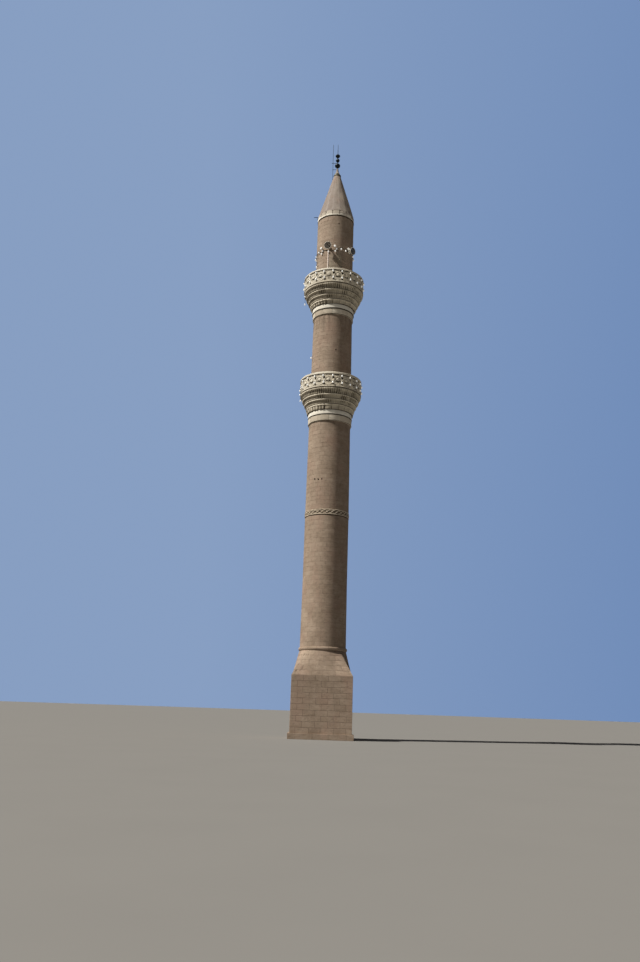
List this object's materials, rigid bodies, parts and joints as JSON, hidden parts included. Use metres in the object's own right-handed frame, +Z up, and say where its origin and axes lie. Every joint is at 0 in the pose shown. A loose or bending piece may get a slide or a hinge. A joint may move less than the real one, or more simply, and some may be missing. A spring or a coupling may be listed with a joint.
{
  "type": "stone minaret with two balconies",
  "caption": "Round hollow stone minaret on a square pedestal, with corbelled balconies, carved parapets, a stone cone and a ball finial.",
  "frame": {"origin": "on the ground, on the tower's axis, at the middle of the plinth's underside", "axes": "+Z up the tower's axis; -Y towards the side the picture shows; +X to the right in the picture"},
  "size_m": [3.6984, 3.6996, 37.37],
  "materials": {
    "shaft_stone": "rough dressed brownish-tan ashlar, weathered",
    "balcony_stone": "cream limestone, carved, weathered and part mossy",
    "cap_stone": "rough pinkish-grey stone with vertical streaks",
    "dark_metal": "dark weathered metal",
    "horn_paint": "chalky off-white paint",
    "black_cable": "matt cable sheath",
    "white_plastic": "sun-bleached white plastic"
  },
  "bodies": {
    "root": {"plinth_course": "shaft_stone", "pedestal_front_wall": "shaft_stone", "pedestal_left_wall": "shaft_stone", "pedestal_right_wall": "shaft_stone", "pedestal_back_wall_left": "shaft_stone", "pedestal_back_wall_right": "shaft_stone", "pedestal_door_lintel": "shaft_stone", "transition": "shaft_stone", "base_ring": "shaft_stone", "lower_shaft": "shaft_stone", "carved_band": "shaft_stone", "middle_shaft": "shaft_stone", "upper_shaft": "shaft_stone", "drum": "shaft_stone", "lower_collar_band": "balcony_stone", "lower_plain_band": "balcony_stone", "lower_fluted_ring": "balcony_stone", "lower_double_cove": "balcony_stone", "lower_top_cove": "balcony_stone", "lower_balcony_floor": "balcony_stone", "lower_parapet": "balcony_stone", "lower_parapet_rail": "balcony_stone", "upper_collar_band": "balcony_stone", "upper_plain_band": "balcony_stone", "upper_fluted_ring": "balcony_stone", "upper_double_cove": "balcony_stone", "upper_top_cove": "balcony_stone", "upper_balcony_floor": "balcony_stone", "upper_parapet": "balcony_stone", "upper_parapet_rail": "balcony_stone", "cap_ring": "cap_stone", "cap_cone": "cap_stone", "finial_collar": "dark_metal", "finial_neck": "cap_stone", "finial_large_ball": "dark_metal", "finial_middle_ball": "dark_metal", "finial_small_ball": "dark_metal", "finial_spike": "dark_metal", "lightning_rod": "dark_metal", "horn_front": "horn_paint", "horn_right": "horn_paint", "lamp_left": "horn_paint", "lamp_front": "horn_paint", "lamp_right": "horn_paint", "drum_light_cable": "black_cable", "horn_conduit": "white_plastic"}
  },
  "joints": []
}
